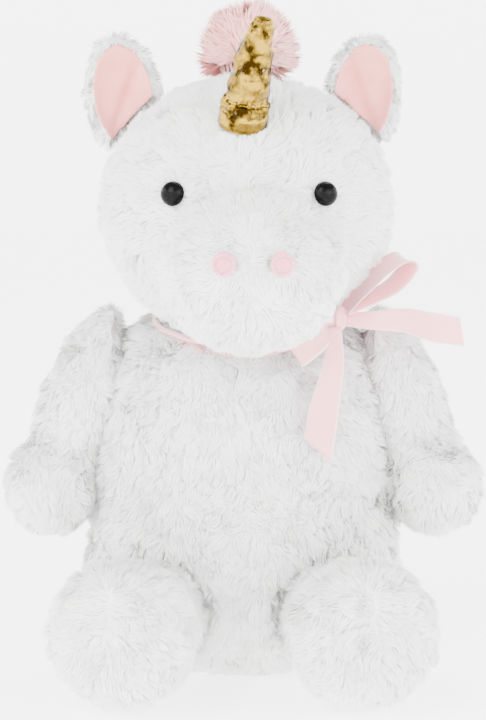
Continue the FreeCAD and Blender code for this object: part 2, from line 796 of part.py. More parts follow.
def make_ribbon():
    band = revolved("neckband_ring", (
        ("band_top_in", "band_top"), ("band_top_r", "band_top"),
        ("band_low_r", "band_low"), ("band_low_in", "band_low")))
    node(place(band, NECK, X_AXIS, cell("neck_tilt")), "ribbon_neckband")
    knot = ellipsoid("ribbon_knot", KNOT,
                     (cell("knot_rx"), cell("knot_ry"), cell("knot_rz")))
    node(knot, "ribbon_knot")
    make_loop("ribbon_loop_upper", cell("loop_long"),
              knot_offset(cell("loop_out"), cell("loop_start"), cell("loop_forward")),
              "-" + cell("loop_rise"))
    make_loop("ribbon_loop_lower", cell("loop_short"),
              knot_offset("-" + cell("loop_low_x"), "-" + cell("loop_low_z"),
                          cell("loop_forward")),
              "180 - " + cell("loop_fall"))
    side = thickened("ribbon_side_tail", cell("satin"), (
        ("0", "-tail_half"), ("side_tail", "-tail_half"),
        ("side_point", "tail_half"), ("0", "tail_half")))
    node(place(side, knot_offset(cell("tail_start"), "-" + cell("side_low"),
                                 "-" + cell("side_back")), Y_AXIS, cell("side_drop")),
         "ribbon_side_tail")
    hanging = thickened("ribbon_hanging_tail", cell("satin"), (
        ("-tail_half", "0"), ("tail_half", "0"),
        ("tail_half", "-hang_tail"), ("-tail_half", "-hang_short")))
    node(place(hanging, knot_offset("-" + cell("hang_in"), "-" + cell("hang_low"),
                                    cell("hang_forward")), Y_AXIS, cell("hang_slant")),
         "ribbon_hanging_tail")


# ---------------------------------------------------------------------- tail

def make_tail():
    """A short tuft of the mane's pile at the back seam."""
    tuft = ellipsoid("tail_whole", ("0", cell("tail_y"), cell("tail_height")),
                     (cell("tail_rx"), cell("tail_ry"), cell("tail_rz")), "0",
                     X_AXIS, cell("tail_angle"))
    room = ellipsoid("tail_root", ("0", cell("belly_y"), cell("belly_height")),
                     (cell("belly_rx"), cell("belly_ry"), cell("belly_rz")),
                     "-" + cell("flex_gap"))
    node(cut("tail_tuft", tuft, room), "tail_tuft")


# -------------------------------------------------------------------- output

def check(items):
    """Stops at the first object that failed or has no whole shape."""
    for item in doc.Objects:
        if "Invalid" in item.State or "Error" in item.State:
            raise RuntimeError("%s failed: %s" % (item.Name, item.State))
    for item in items:
        if item.Shape.isNull() or not item.Shape.isValid():
            raise RuntimeError("%s has no valid shape" % item.Label)


def main():
    make_torso()
    make_head()
    make_mane()
    make_horn()
    for side, sign in SIDES:
        make_ear(side, sign)
        make_arm(side, sign)
        make_leg(side, sign)
    make_ribbon()
    make_tail()
    doc.recompute()
    check(NODES)
    os.makedirs("parts", exist_ok=True)
    for item in NODES:
        item.Shape.exportStep("parts/%s.step" % item.Label)
        print("%-24s %9.1f mm3, %d solid(s)"
              % (item.Label, item.Shape.Volume, len(item.Shape.Solids)))
    print(len(NODES), "nodes")


main()
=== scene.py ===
import math
import bpy
import numpy as np
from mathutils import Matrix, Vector
from mathutils.bvhtree import BVHTree
from mathutils.kdtree import KDTree


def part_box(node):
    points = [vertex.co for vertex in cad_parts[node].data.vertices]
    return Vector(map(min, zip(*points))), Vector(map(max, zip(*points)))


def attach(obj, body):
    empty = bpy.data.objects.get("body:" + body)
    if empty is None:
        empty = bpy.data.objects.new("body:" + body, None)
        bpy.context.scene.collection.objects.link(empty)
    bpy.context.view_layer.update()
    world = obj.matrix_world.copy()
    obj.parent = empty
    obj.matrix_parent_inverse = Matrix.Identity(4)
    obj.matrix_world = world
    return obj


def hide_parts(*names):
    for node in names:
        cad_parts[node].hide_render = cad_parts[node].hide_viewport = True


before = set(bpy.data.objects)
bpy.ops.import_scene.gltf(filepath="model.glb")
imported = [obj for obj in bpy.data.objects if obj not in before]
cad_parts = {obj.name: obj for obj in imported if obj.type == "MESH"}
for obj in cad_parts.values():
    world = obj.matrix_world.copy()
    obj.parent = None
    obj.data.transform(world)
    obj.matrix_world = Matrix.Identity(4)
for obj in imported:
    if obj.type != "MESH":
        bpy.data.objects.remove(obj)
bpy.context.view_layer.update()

# The looks of the plush unicorn.  Metres, the same frame as the CAD model.
# Each stuffed body gets a puffed skin with a real pile on it; horn, eyes,
# nostrils and ribbon are modelled as their own pieces.

MM = 0.001
RNG = np.random.default_rng(7)
PILE_SHARE = 1.0

PILE_DENSITY = 2.1e6        # blades in a square metre
PILE_LENGTH = 6.6 * MM
PILE_WIDTH = 0.27 * MM      # half the width of one blade at its root
SKIN_VOXEL = 5.0 * MM
SKIN_INSET = 3.6 * MM       # the skin lies this far below the pile's outer surface
SEAM_DEPTH = 1.6 * MM       # and the seams this much further
PUFF_PRESSURE = 400.0       # high, because so small and round a skin hardly yields
PUFF_LIMIT = 2.0 * MM       # the cloth simulation moves no point further than this
PUFF_STEPS = 20
WANDERS = ((0.45, 55 * MM), (0.28, 17 * MM))    # how far the pile's lie strays, and over what length

STUFFED = {
    "torso": ["torso_front_left_panel", "torso_front_right_panel", "torso_back_left_panel",
              "torso_back_right_panel", "torso_base_panel", "torso_stuffing"],
    "head": ["head_gusset", "chin_gusset", "head_side_left_panel", "head_side_right_panel",
             "muzzle_panel", "head_stuffing"],
}
for side in ("left", "right"):
    STUFFED["arm_" + side] = ["arm_%s_%s" % (side, part)
                              for part in ("outer_panel", "inner_panel", "stuffing")]
    STUFFED["leg_" + side] = ["leg_%s_%s" % (side, part)
                              for part in ("outer_panel", "inner_panel", "sole", "stuffing")]


# ------------------------------------------------------------------ materials

def new_material(name):
    """A material with a Principled shader; returns it, its nodes, links and shader."""
    material = bpy.data.materials.new(name)
    material.use_nodes = True
    nodes = material.node_tree.nodes
    return material, nodes, material.node_tree.links, nodes["Principled BSDF"]


def texture_coordinates(nodes, links, scale):
    """Object coordinates times a scale."""
    coords = nodes.new("ShaderNodeTexCoord")
    mapping = nodes.new("ShaderNodeMapping")
    mapping.inputs["Scale"].default_value = (scale, scale, scale)
    links.new(coords.outputs["Object"], mapping.inputs["Vector"])
    return mapping.outputs["Vector"]


def noise_ramp(nodes, links, vector, scale, colours, spots=(0.35, 0.65)):
    """A noise that runs from the first colour to the second."""
    noise = nodes.new("ShaderNodeTexNoise")
    noise.inputs["Scale"].default_value = scale
    noise.inputs["Detail"].default_value = 4.0
    links.new(vector, noise.inputs["Vector"])
    ramp = nodes.new("ShaderNodeValToRGB")
    for element, spot, colour in zip(ramp.color_ramp.elements, spots, colours):
        element.position = spot
        element.color = (*colour, 1.0)
    links.new(noise.outputs["Fac"], ramp.inputs["Fac"])
    return noise, ramp


def add_bump(nodes, links, height, shader, strength, distance):
    bump = nodes.new("ShaderNodeBump")
    bump.inputs["Strength"].default_value = strength
    bump.inputs["Distance"].default_value = distance
    links.new(height, bump.inputs["Height"])
    links.new(bump.outputs["Normal"], shader.inputs["Normal"])


def pile_material(name, pale, deep, scale=45.0, spots=(0.35, 0.65)):
    """Soft pile: two close shades in patches, matte with a sheen."""
    material, nodes, links, shader = new_material(name)
    vector = texture_coordinates(nodes, links, 1.0)
    _, ramp = noise_ramp(nodes, links, vector, scale, (deep, pale), spots)
    links.new(ramp.outputs["Color"], shader.inputs["Base Color"])
    shader.inputs["Roughness"].default_value = 0.85
    shader.inputs["Specular IOR Level"].default_value = 0.2
    shader.inputs["Sheen Weight"].default_value = 0.25
    shader.inputs["Sheen Roughness"].default_value = 0.5
    return material


def cloth_material(name, pale, deep, roughness=0.9, weave=900.0, depth=0.1 * MM):
    """Plain woven or felted cloth."""
    material, nodes, links, shader = new_material(name)
    vector = texture_coordinates(nodes, links, 1.0)
    _, ramp = noise_ramp(nodes, links, vector, 60.0, (deep, pale))
    links.new(ramp.outputs["Color"], shader.inputs["Base Color"])
    grain, _ = noise_ramp(nodes, links, vector, weave, (deep, pale))
    add_bump(nodes, links, grain.outputs["Fac"], shader, 0.6, depth)
    shader.inputs["Roughness"].default_value = roughness
    shader.inputs["Sheen Weight"].default_value = 0.5
    return material


def lame_material():
    """Gold lame: metal cloth with a fine weave, highlights that vary with a patchy roughness, and
    near-black patches painted into its colour as dark reflections.
    """
    material, nodes, links, shader = new_material("gold_lame")
    vector = texture_coordinates(nodes, links, 1.0)
    # painted reflection: the near-black patches in the gold's colour stand in for dark surroundings
    # mirrored in the metal
    _, ramp = noise_ramp(nodes, links, vector, 140.0, ((0.02, 0.010, 0.001), (0.38, 0.235, 0.025)),
                         (0.38, 0.58))
    links.new(ramp.outputs["Color"], shader.inputs["Base Color"])
    creases, _ = noise_ramp(nodes, links, vector, 420.0, ((0, 0, 0), (1, 1, 1)))
    add_bump(nodes, links, creases.outputs["Fac"], shader, 0.35, 0.35 * MM)
    rough = nodes.new("ShaderNodeMapRange")
    rough.inputs["To Min"].default_value = 0.16
    rough.inputs["To Max"].default_value = 0.34
    links.new(creases.outputs["Fac"], rough.inputs["Value"])
    links.new(rough.outputs["Result"], shader.inputs["Roughness"])
    shader.inputs["Metallic"].default_value = 1.0
    return material


def satin_material(name, colour, edge):
    """Satin ribbon: fine ribs across it, soft shine, a paler woven edge."""
    material, nodes, links, shader = new_material(name)
    coords = nodes.new("ShaderNodeTexCoord")
    split = nodes.new("ShaderNodeSeparateXYZ")
    links.new(coords.outputs["UV"], split.inputs["Vector"])
    centred = nodes.new("ShaderNodeMath")
    centred.operation = "SUBTRACT"
    centred.inputs[1].default_value = 0.5
    links.new(split.outputs["X"], centred.inputs[0])
    away = nodes.new("ShaderNodeMath")
    away.operation = "ABSOLUTE"
    links.new(centred.outputs["Value"], away.inputs[0])
    ramp = nodes.new("ShaderNodeValToRGB")
    ramp.color_ramp.elements[0].position = 0.44
    ramp.color_ramp.elements[0].color = (*colour, 1.0)
    ramp.color_ramp.elements[1].position = 0.465
    ramp.color_ramp.elements[1].color = (*edge, 1.0)
    links.new(away.outputs["Value"], ramp.inputs["Fac"])
    links.new(ramp.outputs["Color"], shader.inputs["Base Color"])
    ribs = nodes.new("ShaderNodeTexWave")
    ribs.inputs["Scale"].default_value = 60.0
    ribs.inputs["Distortion"].default_value = 0.6
    ribs.bands_direction = "Y"
    links.new(coords.outputs["UV"], ribs.inputs["Vector"])
    add_bump(nodes, links, ribs.outputs["Fac"], shader, 0.25, 0.08 * MM)
    shader.inputs["Roughness"].default_value = 0.34
    shader.inputs["Sheen Weight"].default_value = 0.4
    shader.inputs["Anisotropic"].default_value = 0.5
    return material


def glossy_material(name, colour, roughness, scale, shine=0.4):
    """Moulded plastic with faint rub marks."""
    material, nodes, links, shader = new_material(name)
    vector = texture_coordinates(nodes, links, 1.0)
    marks, _ = noise_ramp(nodes, links, vector, scale, ((0, 0, 0), (1, 1, 1)))
    rough = nodes.new("ShaderNodeMapRange")
    rough.inputs["To Min"].default_value = roughness
    rough.inputs["To Max"].default_value = roughness * 2.0
    links.new(marks.outputs["Fac"], rough.inputs["Value"])
    links.new(rough.outputs["Result"], shader.inputs["Roughness"])
    shader.inputs["Base Color"].default_value = (*colour, 1.0)
    shader.inputs["Specular IOR Level"].default_value = shine
    return material


WHITE_PILE = pile_material("white_pile", (0.97, 0.965, 0.95), (0.92, 0.915, 0.905))
WHITE_BACKING = cloth_material("white_backing", (0.97, 0.97, 0.97), (0.93, 0.93, 0.94))
PINK_PILE = pile_material("pink_pile", (0.96, 0.56, 0.53), (0.92, 0.38, 0.34), 28.0, (0.30, 0.62))
PINK_BACKING = cloth_material("pink_backing", (0.95, 0.55, 0.53), (0.90, 0.45, 0.43))
PINK_VELOUR = cloth_material("pink_velour", (0.84, 0.33, 0.30), (0.78, 0.27, 0.24), 0.95, 1400.0)
GOLD_LAME = lame_material()
GOLD_THREAD = cloth_material("gold_thread", (0.62, 0.42, 0.10), (0.40, 0.25, 0.05), 0.45)
PINK_SATIN = satin_material("pink_satin", (0.92, 0.39, 0.42), (0.97, 0.66, 0.68))
PINK_THREAD = cloth_material("pink_thread", (0.96, 0.34, 0.44), (0.90, 0.25, 0.36), 0.5)
BLACK_EYE = glossy_material("black_eye", (0.003, 0.003, 0.003), 0.07, 300.0, 0.06)
WHITE_PLASTIC = glossy_material("white_plastic", (0.80, 0.80, 0.78), 0.35, 200.0)
POUCH_CLOTH = cloth_material("pouch_cloth", (0.85, 0.84, 0.80), (0.75, 0.74, 0.70))


# ---------------------------------------------------------------- mesh helpers

def new_object(name, mesh, material):
    """An object of this mesh and material, in the scene."""
    obj = bpy.data.objects.new(name, mesh)
    bpy.context.scene.collection.objects.link(obj)
    mesh.materials.append(material)
    return obj


def ring_faces(rings, around, first=0):
    """Quads between rings of points, each ring closed on itself."""
    faces = []
    for ring in range(rings):
        low, high = first + ring * around, first + (ring + 1) * around
        for step in range(around):
            after = (step + 1) % around
            faces.append([low + step, low + after, high + after, high + step])
    return faces


def smooth_mesh(name, points, faces):
    """A mesh of these points and faces, shaded smooth."""
    mesh = bpy.data.meshes.new(name)
    mesh.from_pydata([tuple(point) for point in points], [], faces)
    mesh.update()
    mesh.polygons.foreach_set("use_smooth", [True] * len(faces))
    return mesh


def node_geometry(names):
    """Vertices and triangles of several CAD nodes together."""
    points, faces, offset = [], [], 0
    for name in names:
        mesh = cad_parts[name].data
        mesh.calc_loop_triangles()
        co = np.empty(len(mesh.vertices) * 3, np.float32)
        mesh.vertices.foreach_get("co", co)
        tri = np.empty(len(mesh.loop_triangles) * 3, np.int32)
        mesh.loop_triangles.foreach_get("vertices", tri)
        points.append(co.reshape(-1, 3))
        faces.append(tri.reshape(-1, 3) + offset)
        offset += len(points[-1])
    return np.concatenate(points), np.concatenate(faces)


def mesh_from(name, points, faces):
    mesh = bpy.data.meshes.new(name)
    mesh.from_pydata(points.tolist(), [], faces.tolist())
    mesh.update()
    return mesh


def applied(obj):
    """Replaces the object's mesh by what its modifiers make of it."""
    graph = bpy.context.evaluated_depsgraph_get()
    made = bpy.data.meshes.new_from_object(obj.evaluated_get(graph))
    obj.modifiers.clear()
    old = obj.data
    obj.data = made
    bpy.data.meshes.remove(old)
    return obj


def vertex_arrays(mesh):
    """A mesh's points and their normals as arrays."""
    co = np.empty(len(mesh.vertices) * 3, np.float64)
    mesh.vertices.foreach_get("co", co)
    normals = np.empty(len(mesh.vertices) * 3, np.float32)
    mesh.vertex_normals.foreach_get("vector", normals)
    return co.reshape(-1, 3), normals.reshape(-1, 3).astype(np.float64)


def set_points(mesh, points):
    mesh.vertices.foreach_set("co", points.astype(np.float32).ravel())
    mesh.update()


def keep_largest(obj):
    """Removes every loose part but the largest."""
    mesh = obj.data
    count = len(mesh.vertices)
    edges = np.empty(len(mesh.edges) * 2, np.int32)
    mesh.edges.foreach_get("vertices", edges)
    edges = edges.reshape(-1, 2)
    label = np.arange(count)
    while True:
        low = np.minimum(label[edges[:, 0]], label[edges[:, 1]])
        after = label.copy()
        np.minimum.at(after, edges[:, 0], low)
        np.minimum.at(after, edges[:, 1], low)
        after = after[after]
        if (after == label).all():
            break
        label = after
    names, sizes = np.unique(label, return_counts=True)
    keep = label == names[sizes.argmax()]
    points, _ = vertex_arrays(mesh)
    index = np.cumsum(keep) - 1
    faces = [[index[v] for v in face.vertices] for face in mesh.polygons if keep[face.vertices[0]]]
    made = bpy.data.meshes.new(mesh.name)
    made.from_pydata(points[keep].tolist(), [], faces)
    made.update()
    for material in mesh.materials:
        made.materials.append(material)
    obj.data = made
    bpy.data.meshes.remove(mesh)


def remeshed(name, node_names, voxel, material, smooth=4):
    """One even skin round several CAD nodes."""
    obj = new_object(name, mesh_from(name, *node_geometry(node_names)), material)
    remesh = obj.modifiers.new("remesh", "REMESH")
    remesh.mode = "VOXEL"
    remesh.voxel_size = voxel
    remesh.use_smooth_shade = True
    applied(obj)
    keep_largest(obj)
    soften = obj.modifiers.new("soften", "SMOOTH")
    soften.iterations = smooth
    applied(obj)
    return obj


def tree_of(obj):
    """A search tree of an object's faces."""
    points = [v.co for v in obj.data.vertices]
    return BVHTree.FromPolygons(points, [tuple(p.vertices) for p in obj.data.polygons])


def openness(obj, trees, reach=8.0 * MM):
    """For each vertex, 0 where another body lies against it and 1 where it is free."""
    points, normals = vertex_arrays(obj.data)
    free = np.ones(len(points))
    for index, (point, normal) in enumerate(zip(points, normals)):
        normal = Vector(normal)
        start = Vector(point) + normal * (0.2 * MM)
        for tree in trees:
            hit = tree.ray_cast(start, normal, reach)
            if hit[0] is not None:
                free[index] = min(free[index], hit[3] / reach)
    return free


def seam_vertices(obj, panels):
    """The vertices between two panels."""
    trees = []
    for name in panels:
        points, faces = node_geometry([name])
        trees.append(BVHTree.FromPolygons(points.tolist(), faces.tolist()))
    nearest = []
    for vertex in obj.data.vertices:
        distances = [tree.find_nearest(vertex.co)[3] for tree in trees]
        nearest.append(int(np.argmin(distances)))
    nearest = np.array(nearest)
    seam = np.zeros(len(nearest), bool)
    for edge in obj.data.edges:
        a, b = edge.vertices
        if nearest[a] != nearest[b]:
            seam[a] = True
            seam[b] = True
    return seam


def puff(obj, pinned):
    """A short cloth simulation: filling presses the panels out between their seams."""
    before, _ = vertex_arrays(obj.data)
    group = obj.vertex_groups.new(name="seams")
    group.add([int(i) for i in np.flatnonzero(pinned)], 1.0, "REPLACE")
    cloth = obj.modifiers.new("cloth", "CLOTH")
    cloth.settings.vertex_group_mass = "seams"
    cloth.settings.use_pressure = True
    cloth.settings.uniform_pressure_force = PUFF_PRESSURE
    cloth.settings.effector_weights.gravity = 0.0
    cloth.settings.quality = 4
    cloth.collision_settings.use_collision = False
    cloth.point_cache.frame_start = 1
    cloth.point_cache.frame_end = PUFF_STEPS
    for step in range(1, PUFF_STEPS + 1):
        bpy.context.scene.frame_set(step)
    applied(obj)
    bpy.context.scene.frame_set(1)
    after, _ = vertex_arrays(obj.data)
    move = after - before
    size = np.linalg.norm(move, axis=1)
    share = np.minimum(1.0, PUFF_LIMIT / np.maximum(size, 1e-9))
    set_points(obj.data, before + move * share[:, None])


def subdivided(obj):
    """One level of subdivision, shaded smooth."""
    divide = obj.modifiers.new("divide", "SUBSURF")
    divide.levels = 1
    divide.render_levels = 1
    applied(obj)
    obj.data.polygons.foreach_set("use_smooth", [True] * len(obj.data.polygons))


# ------------------------------------------------------------------------ pile

def scattered(obj, density):
    """Random points on a mesh with their normals."""
    mesh = obj.data
    points, normals = vertex_arrays(mesh)
    mesh.calc_loop_triangles()
    tri = np.empty(len(mesh.loop_triangles) * 3, np.int32)
    mesh.loop_triangles.foreach_get("vertices", tri)
    tri = tri.reshape(-1, 3)
    a, b, c = points[tri[:, 0]], points[tri[:, 1]], points[tri[:, 2]]
    area = np.linalg.norm(np.cross(b - a, c - a), axis=1) / 2
    count = int(area.sum() * density * PILE_SHARE)
    chosen = RNG.choice(len(tri), size=count, p=area / area.sum())
    u, v = RNG.random(count), RNG.random(count)
    flip = u + v > 1
    u[flip], v[flip] = 1 - u[flip], 1 - v[flip]
    parts = np.stack([1 - u - v, u, v], 1)
    corner = tri[chosen]
    spot = (points[corner] * parts[:, :, None]).sum(1)
    normal = unit((normals[corner] * parts[:, :, None]).sum(1))
    return spot, normal


def unit(vectors):
    """Each row scaled to length 1."""
    return vectors / np.maximum(np.linalg.norm(vectors, axis=1, keepdims=True), 1e-9)


def wander(points, size):
    """A slowly varying angle over the surface, from a few plane waves."""
    angle = np.zeros(len(points))
    for turn in range(3):
        wave = np.array([math.cos(2.1 * turn + 0.4), math.sin(1.7 * turn), math.cos(turn + 1.0)])
        angle += np.sin(points @ wave * (6.28 / size) * (1 + 0.6 * turn) + 1.3 * turn)
    return angle / 2


def turned(vectors, axes, angle):
    """Each vector turned about its own axis."""
    c, s = np.cos(angle)[:, None], np.sin(angle)[:, None]
    along = (vectors * axes).sum(1, keepdims=True)
    return vectors * c + np.cross(axes, vectors) * s + axes * along * (1 - c)


def grow(name, spot, normal, length, flow, material, width=PILE_WIDTH, rise=0.46, clump=7.0 * MM,
         pull=0.45, loose=0.22):
    """A pile of tapering blades that lean along flow and gather into tufts."""
    count = len(spot)
    lean = flow - normal * (flow * normal).sum(1, keepdims=True)
    lean = turned(unit(lean), normal, sum(share * wander(spot, size) for share, size in WANDERS))
    tufts = RNG.choice(count, size=max(2, int(count * tuft_share(spot, clump))), replace=False)
    tree = KDTree(len(tufts))
    for index, tuft in enumerate(tufts):
        tree.insert(spot[tuft], index)
    tree.balance()
    owner = tufts[np.array([tree.find(point)[1] for point in spot])]
    kick = unit(RNG.normal(size=(count, 3))) * loose
    swing = kick[owner] * 1.5
    tip_way = unit(normal * rise + lean * 0.85 + kick + swing)
    mid_way = unit(normal * (rise + 0.35) + lean * 0.55 + kick * 0.6 + swing)
    length = length * RNG.uniform(0.75, 1.1, count)
    length = length[:, None]
    middle = spot + mid_way * length * 0.5
    tip = middle + tip_way * length * 0.5
    target = tip[owner]
    near = np.linalg.norm(target - tip, axis=1, keepdims=True)
    hold = pull * np.exp(-((near / (1.3 * clump)) ** 2))
    tip = tip + (target - tip) * hold
    middle = middle + (target - tip) * hold * 0.4
    side = unit(np.cross(normal, tip - spot))
    side = turned(side, normal, RNG.uniform(-0.7, 0.7, count))
    outward = (np.cross(side, tip - middle) * normal).sum(1, keepdims=True)
    side = side * np.where(outward < 0, -1.0, 1.0)
    up = unit(np.cross(side, tip - middle))
    wide = width * RNG.uniform(0.7, 1.2, count)[:, None] / math.sqrt(PILE_SHARE)
    corners = np.stack([spot - side * wide, spot + side * wide, middle + side * wide * 0.8,
                        middle - side * wide * 0.8, tip], 1)
    soft = unit(normal * 0.8 + up * 0.45)
    shading = np.stack([soft - side * 0.3, soft + side * 0.3, soft + side * 0.3,
                        soft - side * 0.3, soft], 1)
    return blades(name, corners.reshape(-1, 3), unit(shading.reshape(-1, 3)), count, material)


def tuft_share(spot, clump):
    """The share of blades that lead a tuft, for tufts this wide."""
    sample = spot[: min(len(spot), 400)]
    tree = KDTree(len(spot))
    for index, point in enumerate(spot):
        tree.insert(point, index)
    tree.balance()
    inside = [len(tree.find_range(point, clump)) for point in sample]
    return 1.0 / max(2.0, float(np.mean(inside)) * 0.32)


def blades(name, points, shading, count, material):
    """One mesh from five points to a blade: a quad at its root, a triangle at its tip."""
    pattern = np.array([0, 1, 2, 3, 3, 2, 4], np.int32)
    starts = np.array([0, 4], np.int32)
    corners = (pattern[None, :] + 5 * np.arange(count, dtype=np.int32)[:, None]).ravel()
    begins = (starts[None, :] + 7 * np.arange(count, dtype=np.int32)[:, None]).ravel()
    mesh = bpy.data.meshes.new(name)
    mesh.vertices.add(len(points))
    mesh.vertices.foreach_set("co", points.astype(np.float32).ravel())
    mesh.loops.add(len(corners))
    mesh.loops.foreach_set("vertex_index", corners)
    mesh.polygons.add(len(begins))
    mesh.polygons.foreach_set("loop_start", begins)
    mesh.polygons.foreach_set("use_smooth", np.ones(len(begins), bool))
    mesh.update(calc_edges=True)
    mesh.normals_split_custom_set_from_vertices(shading.tolist())
    return new_object(name, mesh, material)


def gaps_round(spot, centres):
    """1 away from each (centre, radius, fade), falling to 0 at its radius."""
    free = np.ones(len(spot))
    for centre, radius, fade in centres:
        distance = np.linalg.norm(spot - np.array(centre), axis=1)
        free = np.minimum(free, np.clip((distance - radius) / fade, 0.0, 1.0))
    return free


# ------------------------------------------------------------- stuffed bodies

def middle_of(node):
    """The middle of a CAD node's box."""
    low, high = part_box(node)
    return (low + high) / 2


def span_of(node):
    """The sides of a CAD node's box."""
    low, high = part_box(node)
    return high - low


def head_flow(spot):
    """On the head the pile runs away from the nose and down."""
    nose = (middle_of("nostril_left") + middle_of("nostril_right")) / 2
    away = unit(spot - np.array(nose))
    return away * 0.8 + np.array([0.0, 0.1, -0.55])


def body_flow(spot):
    """Elsewhere it runs down, and a little outwards."""
    return np.array([0.0, 0.0, -1.0]) + 0.25 * unit(spot * np.array([1.0, 1.0, 0.0]))


def foot_flow(side):
    """On a leg the pile runs from the sole's middle outwards and down."""
    sole = np.array(middle_of("leg_%s_sole" % side))

    def flow(spot):
        return unit(spot - sole) * 0.6 + np.array([0.0, 0.0, -0.6])
    return flow


def bare_spots():
    """Where the head's pile gives way: eyes, nostrils and the horn's foot."""
    spots = []
    for side in ("left", "right"):
        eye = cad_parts["eye_" + side].data
        points = np.array([v.co for v in eye.vertices])
        outer = points[points[:, 1] < np.percentile(points[:, 1], 30)]
        spots.append((outer.mean(0), 6.0 * MM, 7.0 * MM))
        spots.append((middle_of("nostril_" + side), 6.2 * MM, 6.0 * MM))
    spots.append((middle_of("horn_wrap_lower") - horn_axis() * 9 * MM, 11.0 * MM, 6.0 * MM))
    return spots


def horn_axis():
    return (middle_of("horn_wrap_upper") - middle_of("horn_wrap_lower")).normalized()


def make_stuffed():
    """Skins first, so that each knows where its neighbours lie, then the pile."""
    skins, trees = {}, {}
    for body, nodes in STUFFED.items():
        skins[body] = remeshed(body + "_skin", nodes, SKIN_VOXEL, WHITE_BACKING)
        trees[body] = tree_of(skins[body])
    flows = {"torso": body_flow, "head": head_flow, "arm_left": body_flow, "arm_right": body_flow,
             "leg_left": foot_flow("left"), "leg_right": foot_flow("right")}
    for body, skin in skins.items():
        others = [tree for name, tree in trees.items() if name != body]
        free = openness(skin, others)
        panels = [name for name in STUFFED[body] if not name.endswith("stuffing")]
        seam = seam_vertices(skin, panels)
        points, normals = vertex_arrays(skin.data)
        depth = SKIN_INSET * np.clip(free * 1.4 - 0.1, 0.0, 1.0) + SEAM_DEPTH * seam * (free > 0.6)
        set_points(skin.data, points - normals * depth[:, None])
        puff(skin, seam | (free < 0.3))
        subdivided(skin)
        finish_stuffed(body, skin, flows[body])


def finish_stuffed(body, skin, flow):
    """Covers one skin with pile and puts both on the body."""
    spot, normal = scattered(skin, PILE_DENSITY)
    length = np.full(len(spot), PILE_LENGTH)
    if body == "head":
        room = gaps_round(spot, bare_spots())
        keep = room > 0.02
        spot, normal, length, room = spot[keep], normal[keep], length[keep], room[keep]
        length = length * np.clip(room, 0.3, 1.0)
    floor = spot[:, 2] > 2.5 * MM
    spot, normal, length = spot[floor], normal[floor], length[floor]
    pile = grow(body + "_pile", spot, normal, length, flow(spot), WHITE_PILE)
    keep_above_floor(pile)
    for obj in (skin, pile):
        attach(obj, body)
    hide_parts(*STUFFED[body])


def keep_above_floor(pile):
    """Presses blades that would pass through the floor flat on it."""
    points, _ = vertex_arrays(pile.data)
    points[:, 2] = np.maximum(points[:, 2], 0.3 * MM)
    pile.data.vertices.foreach_set("co", points.astype(np.float32).ravel())
    pile.data.update()


# --------------------------------------------------------------- mane and tail

def make_tuft(node, body, length, inset, flow, rise, density):
    """Long pink pile over one CAD tuft."""
    core = remeshed(node + "_core", [node], 3.0 * MM, PINK_BACKING)
    points, normals = vertex_arrays(core.data)
    set_points(core.data, points - normals * inset)
    subdivided(core)
    spot, normal = scattered(core, density)
    size = np.full(len(spot), length)
    pile = grow(node + "_pile", spot, normal, size, flow(spot), PINK_PILE, 0.5 * MM, rise,
                5.0 * MM, 0.6, 0.45)
    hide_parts(node)
    for obj in (core, pile):
        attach(obj, body)


def make_mane():
    """A forelock that fans upwards, a crest and a tail whose pile falls."""
    top = np.array(middle_of("mane_forelock"))

    def upwards(spot):
        return unit(spot - top) + np.array([0.0, -0.1, 0.6])

    def downwards(spot):
        return np.array([0.0, 0.0, -1.0]) + 0.0 * spot

    make_tuft("mane_forelock", "head", 13 * MM, 7.0 * MM, upwards, 1.1, 2.2e6)
    make_tuft("mane_crest", "head", 11 * MM, 3.5 * MM, downwards, 0.8, 1.0e6)
    make_tuft("tail_tuft", "tail", 12 * MM, 5.0 * MM, downwards, 0.5, 1.6e6)


# ------------------------------------------------------------------------ ears

def make_ears():
    """White plush at the back and rim, short pink velour in the cup."""
    for side in ("left", "right"):
        body = "ear_" + side
        back, lining = body + "_back", body + "_lining"
        whole = remeshed(body + "_whole", [back, lining], 1.8 * MM, WHITE_BACKING, 3)
        split_ear(whole, back, lining, body)


